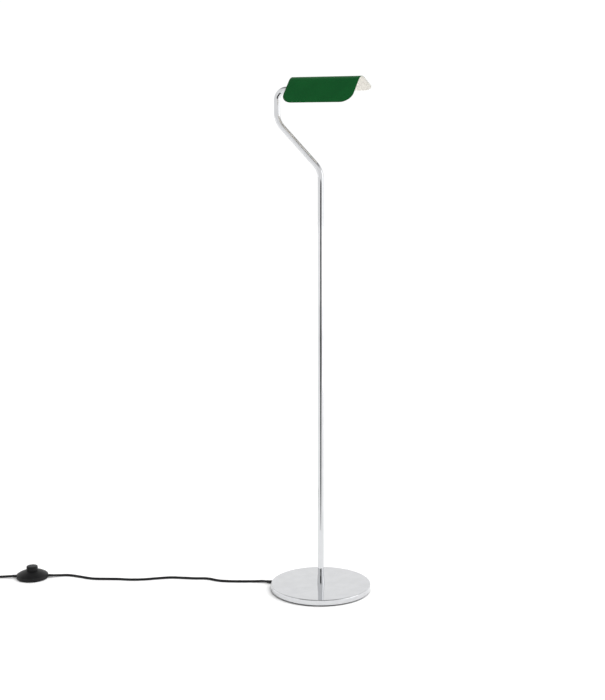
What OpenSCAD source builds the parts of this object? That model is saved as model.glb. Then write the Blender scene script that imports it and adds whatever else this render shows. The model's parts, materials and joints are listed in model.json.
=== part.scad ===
// Floor lamp with a folded sheet-metal shade that tilts on the end of a bent tube stem.
// Millimetres, +Z up. The origin is on the floor, under the middle of the round base.
// The stem leans towards -X and comes back along +X, and the shade tilts about X.

/* [Base] */
// Diameter of the round base
base_d = 250; // [200:5:320]
// Thickness of the base disc
base_t = 13; // [12:0.5:18]
// Radius of the rounded upper edge of the disc
base_edge_r = 1.8; // [0.5:0.1:3]
// Height of the rubber feet, which is the gap under the disc
foot_h = 3.5; // [2:0.5:6]
// Diameter of a rubber foot
foot_d = 12; // [8:1:16]
// Distance from the rim of the disc to the middle of a foot
foot_inset = 10; // [8:1:20]
// Direction of the first foot, seen from above
foot_turn = -29.5; // [-60:0.5:60]
// How far the foot beside the cord is moved round, away from it
foot_shift = 7; // [5:1:12]
// Diameter of the pocket under the middle of the disc
pocket_d = 48; // [40:1:60]
// Thickness of the metal left above the pocket
pocket_roof = 4.5; // [3:0.5:6]
// Thickness of the cap that closes the pocket
cap_t = 0.9; // [0.6:0.1:1.5]

/* [Stem] */
// Outer diameter of the stem tube
tube_d = 15; // [12:0.5:20]
// Wall of the stem tube
tube_wall = 1.2; // [0.8:0.1:2]
// Height at which the stem leans away
lean_z = 1045.5; // [700:5:1300]
// Sideways reach of the lean
lean_x = 116; // [100:1:160]
// Height of the axis of the stem's level end, which the shade tilts about
axis_z = 1236; // [1000:1:1500]
// Bend radius of the two bends of the lean
lean_bend = 50; // [30:1:60]
// Bend radius of the top bend
top_bend = 25; // [22:1:35]
// Where the level end of the tube stops
tube_end_x = -48; // [-55:1:-45]
// Height of the tapered collar at the foot of the stem
collar_h = 21; // [12:1:40]
// Wall of the collar at its lower end
collar_wall = 1.5; // [1:0.1:4]

/* [Shade] */
// Length of the shade along its fold
shade_l = 180; // [150:1:240]
// Middle of the shade along its fold
shade_x = 16; // [10:1:40]
// Thickness of the sheet
sheet_t = 1.2; // [0.8:0.1:2]
// Angle between the two panels
shade_angle = 110; // [95:1:125]
// Outer radius of the fold, which is centred on the tilt axis
fold_r = 29; // [28:0.5:36]
// Length of the flat part of each panel, from the fold to its free edge
panel_l = 71; // [62:0.5:100]
// Radius of the rounded free corners
corner_r = 28; // [10:1:30]
// Tilt of the shade at rest, about X
rest_tilt = 12; // [-20:1:20]
// Largest tilt to either side of level
max_tilt = 60; // [40:1:65]

/* [Tilt joint] */
// Diameter of the journal that the shade turns on
journal_d = 14; // [12:0.5:15]
// Length of the journal
journal_l = 7.2; // [6:0.2:9]
// Diameter of the flange at the end of the stem
flange_d = 26; // [26:0.5:30]
// Thickness of the flange
flange_t = 3; // [2:0.5:4]
// Diameter of the stop pin
pin_d = 2.4; // [1.5:0.1:3]
// Thickness of the bracket's sheet
bracket_t = 2; // [1.2:0.2:2.4]
// Wall of the nylon bush
bush_wall = 1.4; // [1:0.1:1.6]
// Diameter of the hollow threaded nipples
nipple_d = 10; // [9:0.5:11]
// Bore of the nipples, which the wires run through
nipple_bore = 7; // [6:0.5:7.5]

/* [Lampholder and bulb] */
// Outer diameter of the lampholder
holder_d = 27; // [24:0.5:29]
// Length of the lampholder's cap
holder_cap_l = 16; // [14:1:20]
// Length of the lampholder's body outside the cap
holder_l = 36; // [34:1:40]
// Diameter of the bulb's screw cap
bulb_cap_d = 13.9; // [13.5:0.1:14]
// Length of the bulb's screw cap
bulb_cap_l = 24; // [22:1:26]
// Diameter of the bulb
bulb_d = 45; // [40:1:46]
// Length of the bulb from its screw cap to its end
bulb_l = 50; // [46:1:52]

/* [Cord] */
// Diameter of the mains cord
cord_d = 6; // [5:0.5:7]
// Direction in which the cord leaves the base, seen from above
cord_turn = 187; // [170:1:200]
// Height of the cord where it leaves the base
exit_z = 5.2; // [4.5:0.1:6]
// Height of the cord at the clamp under the base
clamp_z = 7.5; // [7:0.1:8]
// Diameter of one insulated core inside the cord
core_d = 2.2; // [1.8:0.1:2.4]
// Length of the tapered rubber sleeve where the cord leaves the base
relief_l = 20; // [20:1:40]
// Middle diameter of the coil of spare cord
coil_d = 70; // [60:1:80]
// Width and height of the coil's bundle of turns
coil_w = 18; // [17:0.5:20]

/* [Foot switch] */
// Diameter of the round foot switch
switch_d = 80; // [70:1:90]
// Height of the switch's straight side
skirt_z = 10; // [7:0.5:11]
// Height of the top of the switch's dome
dome_z = 20.5; // [16:0.5:22]
// Wall of the switch's shells
shell_t = 2; // [1.5:0.1:2.5]
// Diameter of the push button
button_d = 29; // [22:0.5:30]
// Height of the top of the button
button_z = 32.5; // [28:0.5:34]
// Travel of the button
button_travel = 4; // [2:0.5:4]
// Height of the cord in the switch
switch_cord_z = 5.5; // [5.2:0.1:6]

/* [Plug] */
// Length of the plug's body
plug_l = 36; // [30:1:40]
// Width of the plug's body at its pins
plug_w = 26; // [24.5:0.5:35]
// Thickness of the plug's body
plug_t = 13.7; // [12:0.1:16]
// Diameter of a pin
plug_pin_d = 4; // [3.9:0.1:4.1]
// Length of a pin outside the body
plug_pin_l = 19; // [18:0.5:20]
// Distance between the pins
plug_pitch = 18.6; // [17.5:0.1:19]
// Length of the tapered sleeve at the plug
plug_relief_l = 28; // [20:1:40]

/* [Fits] */
// Radial clearance of a running fit
running = 0.05; // [0.02:0.01:0.1]
// Radial clearance of pieces that are pushed or screwed together
snug = 0.05; // [0.02:0.01:0.1]
// Gap between pieces that move past each other
gap = 0.3; // [0.3:0.05:0.5]

/* [Hidden] */
$fn = 96;
eps = 1;

// Levels of the base
disc_z0 = foot_h;
disc_z1 = foot_h + base_t;
pocket_z = disc_z1 - pocket_roof;
cap_d = pocket_d + 8;
washer_t = 1;
nut_t = 3.4;
nut_z = pocket_z - washer_t - nut_t;
nipple_z = nut_z - 0.2;
foot_ring_r = base_d / 2 - foot_inset;
foot_angles = [for (i = [0:4]) foot_turn + 72 * i - (i == 3 ? foot_shift : 0)];
foot_stub_d = 5;
foot_stub_l = 4.5;

// The stem's centreline, in X and Z
tube_r = tube_d / 2;
bore_r = tube_r - tube_wall;
// How far straight stretches run into bends, and how much thicker the bends are, so that both join cleanly
bend_lap = 0.3;
bend_swell = 0.03;
stem_points = [
    [0, disc_z1], [0, lean_z], [-lean_x, lean_z + lean_x], [-lean_x, axis_z], [tube_end_x, axis_z]
];
stem_bends = [lean_bend, lean_bend, top_bend];
insert_l = 24;
nipple_top = disc_z1 + 21;

// The tilt joint, along X from the end of the tube
flange_x = tube_end_x + flange_t;
shoulder_x = flange_x + journal_l;
bush_x0 = flange_x + gap;
bush_x1 = shoulder_x - gap;
bush_r = journal_d / 2 + running + bush_wall;
bush_flange_t = 0.8;
plate_x = bush_x0 + bush_flange_t;
hub_r = bush_r + snug + 2;
friction_t = 1.2;
pivot_nut_x = shoulder_x + friction_t;
pivot_nut_t = 4;
holder_x = pivot_nut_x + pivot_nut_t + gap;
spigot_end_x = holder_x + 10;
spigot_plug_l = 18;
pin_ring_r = flange_d / 2 - pin_d / 2 - 0.6;
slot_clearance = 0.35;

// The shade's section, about the tilt axis
fold_in_r = fold_r - sheet_t;
half_turn = (180 - shade_angle) / 2;
tab_from = 4;
tab_to = 22;
tab_x = 14;
plate_drop = 15;

// The lampholder and bulb, along X
body_x = holder_x + holder_cap_l;
mouth_x = body_x + holder_l;
holder_wall = 1.5;
socket_r = bulb_cap_d / 2 + 0.35;
cap_x0 = mouth_x - bulb_cap_l;
tip_x0 = cap_x0 - 4.5;
bulb_x1 = mouth_x + bulb_l;
bulb_mid_x = bulb_x1 - bulb_d / 2;
bulb_split_x = bulb_mid_x - 9;

// The cord
cord_r = cord_d / 2;
core_off = core_d / 2 + 0.2;
core_z = 5.9;
core_bend = 4;
jacket_from = cap_d / 2 + 1;
core_top_x = spigot_end_x + 3;
relief_flange_t = 1.5;
relief_seat_l = 7;
relief_seat_r = cord_r + 1.3;
clamp_r0 = 36;
clamp_l = 8;
clamp_t = 1.4;
clamp_screw_y = 9;
clamp_w = 2 * (clamp_screw_y + 5);
clamp_screw_l = 8;
slope = atan((clamp_z - exit_z) / (base_d / 2 - clamp_r0));
strap_top = clamp_z - cord_r / cos(slope) - clamp_l * tan(slope);
strap_z = strap_top - clamp_t;
clamp_screw_r = 1.5;

// The cord's wander from the base to the foot switch: share of the way, and offset to its left
to_switch = [
    [0.038, -0.8], [0.093, 1.7], [0.15, 3], [0.205, 0], [0.263, -12.8],
    [0.323, -11.9], [0.384, -13.8], [0.441, -14], [0.499, -5.3], [0.559, 5],
    [0.621, 9.4], [0.682, 7.8], [0.743, 9.2], [0.804, 9.2], [0.863, -1.4],
    [0.918, -11.2], [0.963, -9.7]
];
// Route of the cord from the switch to the coil
to_coil = [[-791, -270.7, cord_r], [-813, -287.5, cord_r]];
// Route of the cord from the coil to the plug. It climbs over the turns first: distance out from the middle
// of the bundle, angle, and height above the bundle's top less its lift
over_coil = [[-6, 150, -3.5], [-4, 176, 0.6], [2, 198, 3.4], [8, 216, 2.6]];
to_plug = [[-838, -373, 16], [-828, -385, 11.5], [-817, -395.5, 8.2]];
rings_per_span = 2;
cord_sides = 10;

// The foot switch's place and the direction in which the cord passes through it
switch_at = [-713, -233.2];
switch_turn = 208;
gland_l = 12;
gland_r = cord_r + 0.8;
gland_tip_t = 0.4;
gland_seat_l = shell_t + 3;
pad_t = 1.2;
floor_z = pad_t + shell_t;
dome_edge_r = button_d / 2 + 1.5;
// Centre height of the dome's sphere, through the skirt's top edge and the dome's top edge
dome_c = (pow(switch_d / 2, 2) + pow(skirt_z, 2) - pow(dome_edge_r, 2) - pow(dome_z, 2))
    / (2 * (skirt_z - dome_z));
dome_r = sqrt(pow(switch_d / 2, 2) + pow(skirt_z - dome_c, 2));
button_wall = 4.5;
button_lip = 2;
button_flange_t = 1.8;
// The button's lip sits just under the dome, and its lower edge clears the floor at full travel
button_flange_z = sqrt(pow(dome_r - shell_t, 2) - pow(button_d / 2 + button_lip, 2)) + dome_c - gap
    - button_flange_t;
button_z0 = floor_z + button_travel + 0.8;
spring_wire = 1;
spring_r = button_d / 2 - button_wall - spring_wire / 2 - 0.4;
spring_turns = 6;
block_r = spring_r - spring_wire / 2 - 0.6;
plunger_z = button_z - 14;
jacket_end_r = 27;
terminal_l = 7;
terminal_w = 6;
terminal_h = 5;
terminal_r0 = jacket_end_r - 1 - terminal_l;
screw_y = 26;
screw_r = 1.25;
screw_head_r = 2.7;
screw_l = 7.5;
boss_r = 3.6;
boss_top = sqrt(pow(dome_r - shell_t / 2, 2) - pow(screw_y + boss_r, 2)) + dome_c;

// The coil, its tie and the plug
coil_at = [-809, -338];
coil_lift = 1;
coil_h = coil_w - coil_lift;
coil_in_turn = 126;
tie_turn = 20;
tie_w = 12;
tie_t = 0.9;
plug_at = [-803, -406];
plug_turn = -52;
plug_axis_z = plug_t / 2;
pin_sleeve_l = 10;
pin_core_r = plug_pin_d / 2 - 0.4;
pin_seat_l = 8;

// ---- Shared shapes ----

function heading(p, q) = atan2(q[1] - p[1], q[0] - p[0]);
function turn_at(p, i) = heading(p[i], p[i + 1]) - heading(p[i - 1], p[i]);
function trim_at(p, bends, i) =
    (i == 0 || i == len(p) - 1) ? 0 : bends[i - 1] * tan(abs(turn_at(p, i)) / 2);
function polar(r, a) = [r * cos(a), r * sin(a)];
function unit(v) = v / norm(v);

// A round bar along corner points in the XZ plane, with each inner corner bent to its radius
module bent_bar(p, bends, r) {
    rotate([90, 0, 0]) {
        for (i = [0:len(p) - 2]) {
            a = heading(p[i], p[i + 1]);
            // Each straight runs a little way into the bends at its ends
            trim = [trim_at(p, bends, i) - (i > 0 ? bend_lap : 0),
                trim_at(p, bends, i + 1) - (i < len(p) - 2 ? bend_lap : 0)];
            from = p[i] + polar(trim[0], a);
            length = norm(p[i + 1] - p[i]) - trim[0] - trim[1];
            translate([from[0], from[1], 0]) rotate([0, 0, a]) rotate([0, 90, 0])
                cylinder(r = r, h = length);
        }
        for (i = [1:len(p) - 2]) {
            a = heading(p[i - 1], p[i]);
            t = turn_at(p, i);
            side = t > 0 ? 1 : -1;
            middle = p[i] - polar(trim_at(p, bends, i), a) + polar(bends[i - 1], a + 90 * side);
            start = t > 0 ? a - 90 : a + t + 90;
            translate([middle[0], middle[1], 0]) rotate([0, 0, start])
                rotate_extrude(angle = abs(t)) translate([bends[i - 1], 0]) circle(r = r + bend_swell);
        }
    }
}

// A disc, or a ring if it has a hole, on the tilt axis from x0 to x1
module on_axis(x0, x1, r, hole = 0) {
    translate([x0, 0, axis_z]) rotate([0, 90, 0]) difference() {
        cylinder(r = r, h = x1 - x0);
        if (hole > 0) translate([0, 0, -eps]) cylinder(r = hole, h = x1 - x0 + 2 * eps);
    }
}

// A ring that stands on z0
module ring(z0, z1, r, hole) {
    translate([0, 0, z0]) difference() {
        cylinder(r = r, h = z1 - z0);
        translate([0, 0, -eps]) cylinder(r = hole, h = z1 - z0 + 2 * eps);
    }
}

// A hexagonal nut on the Z axis, from z0 up
module hex_nut(z0, height, across, hole) {
    translate([0, 0, z0]) difference() {
        cylinder(r = across / 2 / cos(30), h = height, $fn = 6);
        translate([0, 0, -eps]) cylinder(r = hole, h = height + 2 * eps);
    }
}

// The cord's direction under the base: children lie along +X and slope down to the rim
module along_exit() {
    rotate([0, 0, cord_turn]) translate([base_d / 2, 0, exit_z]) rotate([0, slope, 0]) children();
}

// The shade's own frame, tilted to its rest position, with the tilt axis on X
module in_shade() {
    translate([0, 0, axis_z]) rotate([rest_tilt, 0, 0]) children();
}

// Places a section drawn in Y and Z, and extruded along X from x0
module across_shade(x0) {
    in_shade() translate([x0, 0, 0]) rotate([90, 0, 90]) children();
}

// Places children in one panel's frame: X runs down the panel, Y is outwards, from the end of the fold
module on_panel(side) {
    mirror([side < 0 ? 1 : 0, 0, 0]) rotate([0, 0, 90 - half_turn]) translate([fold_r, 0, 0])
        rotate([0, 0, -90]) children();
}

module in_switch() {
    translate([switch_at[0], switch_at[1], 0]) rotate([0, 0, switch_turn]) children();
}

module at_plug() {
    translate([plug_at[0], plug_at[1], plug_axis_z]) rotate([0, 0, plug_turn]) children();
}

// ---- The cord's swept tube ----

function spline_point(a, b, c, d, t) =
    0.5 * (2 * b + (c - a) * t + (2 * a - 5 * b + 4 * c - d) * t * t + (3 * b - a - 3 * c + d) * t * t * t);
function smooth_route(p, n) = concat(
    [for (i = [0:len(p) - 2]) for (k = [0:n - 1])
        spline_point(p[max(i - 1, 0)], p[i], p[i + 1], p[min(i + 2, len(p) - 1)], k / n)],
    [p[len(p) - 1]]
);
function tangent(p, i) = unit(p[min(i + 1, len(p) - 1)] - p[max(i - 1, 0)]);
function ring_points(c, t, r, n) =
    let (side = unit(cross([0, 0, 1], t)), up = cross(t, side))
    [for (k = [0:n - 1]) c + r * (cos(360 * k / n) * side + sin(360 * k / n) * up)];

module swept_tube(p, r, n) {
    m = len(p);
    points = [for (i = [0:m - 1]) each ring_points(p[i], tangent(p, i), r, n)];
    sides = [for (i = [0:m - 2]) for (k = [0:n - 1])
        [i * n + k, (i + 1) * n + k, (i + 1) * n + (k + 1) % n, i * n + (k + 1) % n]];
    ends = [[for (k = [0:n - 1]) k], [for (k = [n - 1:-1:0]) (m - 1) * n + k]];
    polyhedron(points = points, faces = concat(sides, ends), convexity = 10);
}

function switch_point(x, z) =
    [switch_at[0] + x * cos(switch_turn), switch_at[1] + x * sin(switch_turn), z];
function exit_point(x) = let (out = base_d / 2 + x * cos(slope))
    [out * cos(cord_turn), out * sin(cord_turn), exit_z - x * sin(slope)];
function coil_point(r, a, z) = [coil_at[0] + r * cos(a), coil_at[1] + r * sin(a), z];
function plug_point(x) =
    [plug_at[0] + x * cos(plug_turn), plug_at[1] + x * sin(plug_turn), plug_axis_z];

// ---- Base ----

module disc_profile() {
    r = base_d / 2;
    square([r - base_edge_r, base_t]);
    square([r, base_t - base_edge_r]);
    translate([r - base_edge_r, base_t - base_edge_r]) circle(r = base_edge_r);
}

module base_disc() {
    color([0.86, 0.87, 0.88]) difference() {
        translate([0, 0, disc_z0]) rotate_extrude() intersection() {
            disc_profile();
            square([base_d, base_t]);
        }
        translate([0, 0, disc_z0 - eps]) cylinder(d = pocket_d, h = pocket_z - disc_z0 + eps);
        translate([0, 0, disc_z0 - eps]) cylinder(d = cap_d, h = cap_t + snug + eps);
        cylinder(d = nipple_d + 4 * snug, h = disc_z1 + eps);
        for (a = foot_angles) rotate([0, 0, a]) translate([foot_ring_r, 0, disc_z0 - eps])
            cylinder(d = foot_stub_d + 2 * snug, h = foot_stub_l + 0.3 + eps);
        rotate([0, 0, cord_turn]) {
            translate([0, -cord_r - gap, disc_z0 - eps])
                cube([base_d, cord_d + 2 * gap, clamp_z + cord_r + gap - disc_z0 + eps]);
            translate([clamp_r0 - gap, -clamp_w / 2 - gap, disc_z0 - eps])
                cube([clamp_l + 2 * gap, clamp_w + 2 * gap, strap_top - disc_z0 + eps]);
            for (y = [-clamp_screw_y, clamp_screw_y]) translate([clamp_r0 + clamp_l / 2, y, disc_z0 - eps])
                cylinder(r = clamp_screw_r + snug, h = clamp_screw_l + eps);
        }
        along_exit() translate([-relief_seat_l, 0, 0]) rotate([0, 90, 0])
            cylinder(r = relief_seat_r + snug, h = relief_seat_l + eps);
    }
}

module rubber_feet() {
    color([0.06, 0.06, 0.06]) for (a = foot_angles) rotate([0, 0, a]) translate([foot_ring_r, 0, 0]) {
        rotate_extrude() polygon([
            [0, 0], [foot_d / 2 - 0.8, 0], [foot_d / 2, 0.8], [foot_d / 2, foot_h],
            [foot_stub_d / 2, foot_h], [foot_stub_d / 2, foot_h + foot_stub_l], [0, foot_h + foot_stub_l]
        ]);
    }
}

module base_collar() {
    hole = tube_r + snug;
    color([0.86, 0.87, 0.88]) translate([0, 0, disc_z1]) rotate_extrude() polygon([
        [hole, 0], [hole + collar_wall, 0], [hole + collar_wall, 1.5],
        [hole + 0.5, collar_h], [hole, collar_h]
    ]);
}

module stem_insert() {
    z0 = disc_z1 + 0.5;
    color([0.72, 0.62, 0.36]) ring(z0, z0 + insert_l, bore_r - snug, nipple_d / 2 + snug);
}

module base_nipple() {
    color([0.72, 0.62, 0.36]) ring(nipple_z, nipple_top, nipple_d / 2, nipple_bore / 2);
}

module base_washer() {
    color([0.7, 0.7, 0.7]) ring(pocket_z - washer_t, pocket_z, 11, nipple_d / 2 + 0.2);
}

module base_nut() {
    color([0.7, 0.7, 0.7]) hex_nut(nut_z, nut_t, 17, nipple_d / 2 + snug);
}

module pocket_cap() {
    color([0.08, 0.08, 0.08]) translate([0, 0, disc_z0]) cylinder(d = cap_d - 2 * snug, h = cap_t);
}

module cord_clamp() {
    color([0.1, 0.1, 0.1]) rotate([0, 0, cord_turn]) difference() {
        translate([clamp_r0, -clamp_w / 2, strap_z]) cube([clamp_l, clamp_w, clamp_t]);
        for (y = [-clamp_screw_y, clamp_screw_y]) translate([clamp_r0 + clamp_l / 2, y, strap_z - eps])
            cylinder(r = clamp_screw_r + snug, h = clamp_t + 2 * eps);
    }
}

module clamp_screws() {
    color([0.7, 0.7, 0.7]) rotate([0, 0, cord_turn]) for (y = [-clamp_screw_y, clamp_screw_y])
        translate([clamp_r0 + clamp_l / 2, y, 0]) {
            translate([0, 0, strap_z]) cylinder(r = clamp_screw_r, h = clamp_screw_l);
            translate([0, 0, strap_z - 1.2]) cylinder(r = 2.7, h = 1.2);
        }
}

// The jacketed cord under the base, from the pocket to the end of the sleeve
module base_cord() {
    length = base_d / 2 - jacket_from + relief_l;
    color([0.05, 0.05, 0.05]) along_exit() translate([relief_l - length, 0, 0]) rotate([0, 90, 0])
        cylinder(r = cord_r, h = length);
}

// Live and neutral cores, from the end of the jacket up the stem to the lampholder
module core_wires() {
    split_z = disc_z1 + 50;
    under = [[-jacket_from, core_z], [0, core_z], [0, split_z]];
    corners = [for (i = [1:len(stem_points) - 2]) stem_points[i]];
    inside = concat([[0, split_z]], corners, [[core_top_x, axis_z]]);
    color([0.45, 0.3, 0.2]) for (side = [-1, 1]) {
        rotate([0, 0, cord_turn - 180]) translate([0, side * core_off, 0])
            bent_bar(under, [core_bend], core_d / 2);
        translate([0, side * core_off, 0]) bent_bar(inside, stem_bends, core_d / 2);
    }
}

module base_relief() {
    hole = cord_r + snug;
    color([0.05, 0.05, 0.05]) along_exit() rotate([0, 90, 0]) rotate_extrude() polygon([
        [hole, -relief_seat_l + gap], [relief_seat_r, -relief_seat_l + gap], [relief_seat_r, 0.5],
        [cord_r + 1.8, 0.5], [cord_r + 1.8, 0.5 + relief_flange_t], [cord_r + 1.1, 0.5 + relief_flange_t],
        [cord_r + 0.5, relief_l], [hole, relief_l]
    ]);
}

// ---- Stem ----

module stem() {
    inner = concat([stem_points[0] - [0, eps]], [for (i = [1:len(stem_points) - 2]) stem_points[i]],
        [stem_points[len(stem_points) - 1] + [eps, 0]]);
    color([0.86, 0.87, 0.88]) difference() {
        bent_bar(stem_points, stem_bends, tube_r);
        bent_bar(inner, stem_bends, bore_r);
    }
}

// ---- Tilt joint ----

module pivot_spigot() {
    color([0.86, 0.87, 0.88]) difference() {
        union() {
            on_axis(tube_end_x - spigot_plug_l, tube_end_x, bore_r - snug);
            on_axis(tube_end_x, flange_x, flange_d / 2);
            on_axis(flange_x, shoulder_x, journal_d / 2);
            on_axis(shoulder_x, spigot_end_x, nipple_d / 2);
        }
        on_axis(tube_end_x - spigot_plug_l - eps, spigot_end_x + eps, nipple_bore / 2);
        translate([tube_end_x - eps, 0, axis_z - pin_ring_r]) rotate([0, 90, 0])
            cylinder(d = pin_d, h = flange_t + 2 * eps);
    }
}

// A pin in the flange, straight below the axis, that runs in the bracket's slot
module stop_pin() {
    length = flange_t + gap + bush_flange_t + bracket_t;
    color([0.6, 0.6, 0.6]) translate([tube_end_x, 0, axis_z - pin_ring_r]) rotate([0, 90, 0])
        cylinder(d = pin_d - 2 * 0.02, h = length);
}

module friction_washer() {
    color([0.7, 0.7, 0.7]) on_axis(shoulder_x, pivot_nut_x, hub_r - 0.5, nipple_d / 2 + snug);
}

module pivot_nut() {
    color([0.72, 0.62, 0.36]) translate([pivot_nut_x, 0, axis_z]) rotate([0, 90, 0])
        hex_nut(0, pivot_nut_t, 15, nipple_d / 2 + snug);
}

module bracket_plate() {
    tangent_in = polar(fold_in_r, 90 - half_turn);
    wing = tangent_in + polar(tab_to, -half_turn);
    difference() {
        union() {
            circle(r = fold_in_r);
            polygon([[-tangent_in[0], tangent_in[1]], tangent_in, wing, [-wing[0], wing[1]]]);
        }
        translate([-base_d, -base_d - plate_drop]) square([2 * base_d, base_d]);
        circle(r = bush_r + snug);
    }
}

// The arc that the stop pin sweeps, seen from the shade
module stop_slot() {
    slot_r = pin_d / 2 + slot_clearance;
    // At a tilt, the pin's place in the shade's frame is turned back by that tilt
    for (a = [-max_tilt, max_tilt]) rotate([0, 0, -90 + a]) translate([pin_ring_r, 0])
        cylinder(r = slot_r, h = bracket_t + 2 * eps);
    rotate([0, 0, -90 - max_tilt]) rotate_extrude(angle = 2 * max_tilt)
        translate([pin_ring_r - slot_r, 0]) square([2 * slot_r, bracket_t + 2 * eps]);
}

module shade_bracket() {
    color([0.9, 0.89, 0.85]) {
        across_shade(plate_x) difference() {
            linear_extrude(bracket_t) bracket_plate();
            translate([0, 0, -eps]) stop_slot();
        }
        across_shade(plate_x + bracket_t) for (side = [-1, 1]) on_panel(side)
            translate([tab_from, -sheet_t - bracket_t, 0]) cube([tab_to - tab_from, bracket_t, tab_x]);
    }
}

module pivot_bush() {
    hole = journal_d / 2 + running;
    color([0.93, 0.92, 0.88]) in_shade() rotate([0, 90, 0]) difference() {
        union() {
            translate([0, 0, bush_x0]) cylinder(r = bush_r, h = bush_x1 - bush_x0);
            translate([0, 0, bush_x0]) cylinder(r = bush_r + 0.6, h = bush_flange_t);
        }
        translate([0, 0, bush_x0 - eps]) cylinder(r = hole, h = bush_x1 - bush_x0 + 2 * eps);
    }
}

// ---- Shade ----

module panel_outline() {
    square([panel_l - corner_r, shade_l]);
    translate([0, corner_r]) square([panel_l, shade_l - 2 * corner_r]);
    for (y = [corner_r, shade_l - corner_r]) translate([panel_l - corner_r, y]) circle(r = corner_r);
}

module shade() {
    color([0.02, 0.27, 0.13]) across_shade(shade_x - shade_l / 2) {
        rotate([0, 0, 90 - half_turn]) rotate_extrude(angle = 2 * half_turn)
            translate([fold_in_r, 0]) square([sheet_t, shade_l]);
        for (side = [-1, 1]) on_panel(side) rotate([90, 0, 0]) linear_extrude(sheet_t) panel_outline();
    }
}

// ---- Lampholder and bulb ----

module lampholder_cap() {
    color([0.93, 0.92, 0.88]) difference() {
        on_axis(holder_x, body_x, holder_d / 2);
        on_axis(holder_x + 5, body_x + eps, holder_d / 2 - holder_wall);
        on_axis(holder_x - eps, body_x, nipple_d / 2 + snug);
    }
}

module lampholder_body() {
    color([0.93, 0.92, 0.88]) difference() {
        union() {
            on_axis(body_x, mouth_x, holder_d / 2);
            on_axis(spigot_end_x + 1, body_x, holder_d / 2 - holder_wall - snug);
        }
        on_axis(tip_x0 - 2, mouth_x + eps, socket_r);
        on_axis(spigot_end_x, mouth_x, 4);
    }
}

// The centre contact behind the bulb's tip and the side contact along its cap
module lampholder_contacts() {
    color([0.8, 0.65, 0.3]) {
        on_axis(tip_x0 - 1.6, tip_x0, 3);
        translate([cap_x0 + 4, 0, axis_z]) rotate([0, 90, 0]) rotate([0, 0, -15]) rotate_extrude(angle = 30)
            translate([bulb_cap_d / 2 + 0.04, 0]) square([0.26, 8]);
    }
}

module bulb_cap() {
    color([0.8, 0.8, 0.8]) on_axis(cap_x0, mouth_x, bulb_cap_d / 2, bulb_cap_d / 2 - 0.4);
}

module bulb_insulator() {
    color([0.1, 0.1, 0.1]) translate([tip_x0 + 1, 0, axis_z]) rotate([0, 90, 0]) rotate_extrude() polygon([
        [0, 0], [2.6, 0], [bulb_cap_d / 2 - 0.6, 3.5], [bulb_cap_d / 2 - 0.6, 6], [0, 6]
    ]);
}

module bulb_tip() {
    color([0.8, 0.8, 0.8]) on_axis(tip_x0, tip_x0 + 1, 2.3);
}

// Radius of the bulb's body between its neck and its globe
function bulb_body_r(t) =
    let (neck = bulb_cap_d / 2 + 0.6, wide = sqrt(pow(bulb_d / 2, 2) - pow(bulb_mid_x - bulb_split_x, 2)))
    neck + (wide - neck) * sin(90 * t);

module bulb_body() {
    n = 10;
    wall = 1.6;
    l = bulb_split_x - mouth_x;
    bore = bulb_cap_d / 2 - 2;
    outer = [for (i = [0:n]) [bulb_body_r(i / n), l * (0.08 + 0.92 * i / n)]];
    inner = [for (i = [n:-1:0]) [bulb_body_r(i / n) - wall, l * (0.08 + 0.92 * i / n)]];
    color([0.95, 0.95, 0.95]) translate([mouth_x, 0, axis_z]) rotate([0, 90, 0]) rotate_extrude()
        polygon(concat([[bore, 0], [bulb_body_r(0), 0]], outer, inner, [[bore, l * 0.08]]));
}

module bulb_globe() {
    wall = 1;
    color([0.97, 0.97, 0.95]) translate([bulb_mid_x, 0, axis_z]) rotate([0, 90, 0]) rotate_extrude()
        intersection() {
            difference() {
                circle(r = bulb_d / 2);
                circle(r = bulb_d / 2 - wall);
            }
            translate([0, bulb_split_x - bulb_mid_x]) square([bulb_d, bulb_d]);
        }
}

module led_board() {
    color([0.9, 0.9, 0.85]) on_axis(bulb_split_x - 1.2, bulb_split_x, bulb_body_r(1) - 3);
}

// ---- Foot switch ----

module switch_pad() {
    color([0.06, 0.06, 0.06]) in_switch() ring(0, pad_t, switch_d / 2 - 4, switch_d / 2 - 12);
}

module dome_section(r) {
    intersection() {
        translate([0, dome_c]) circle(r = r, $fn = 180);
        square([switch_d / 2 - (dome_r - r), button_z]);
    }
}

// Openings for the two cord glands through the side of the switch
module gland_holes() {
    for (a = [0, 180]) rotate([0, 0, a]) translate([jacket_end_r - gap, 0, switch_cord_z]) rotate([0, 90, 0])
        cylinder(r = gland_r + snug, h = switch_d);
}

module switch_base() {
    color([0.1, 0.1, 0.1]) in_switch() difference() {
        union() {
            translate([0, 0, pad_t]) cylinder(r = switch_d / 2 - shell_t - 0.2, h = shell_t);
            ring(floor_z, floor_z + 2.5, switch_d / 2 - shell_t - 0.2, switch_d / 2 - 2 * shell_t);
        }
        gland_holes();
        for (y = [-screw_y, screw_y]) translate([0, y, 0]) {
            cylinder(r = screw_r + 0.35, h = floor_z + eps);
            cylinder(r = screw_head_r + 0.2, h = pad_t + 1.2);
        }
    }
}

module switch_dome() {
    color([0.1, 0.1, 0.1]) in_switch() difference() {
        union() {
            translate([0, 0, pad_t]) rotate_extrude() difference() {
                translate([0, -pad_t]) dome_section(dome_r);
                translate([0, -pad_t]) dome_section(dome_r - shell_t);
                translate([0, -eps - pad_t]) square([switch_d, pad_t + eps]);
            }
            for (y = [-screw_y, screw_y]) translate([0, y, floor_z])
                cylinder(r = boss_r, h = boss_top - floor_z);
        }
        cylinder(r = button_d / 2 + gap, h = button_z);
        gland_holes();
        for (y = [-screw_y, screw_y]) translate([0, y, 0])
            cylinder(r = screw_r + snug, h = floor_z + 6);
    }
}

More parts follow.
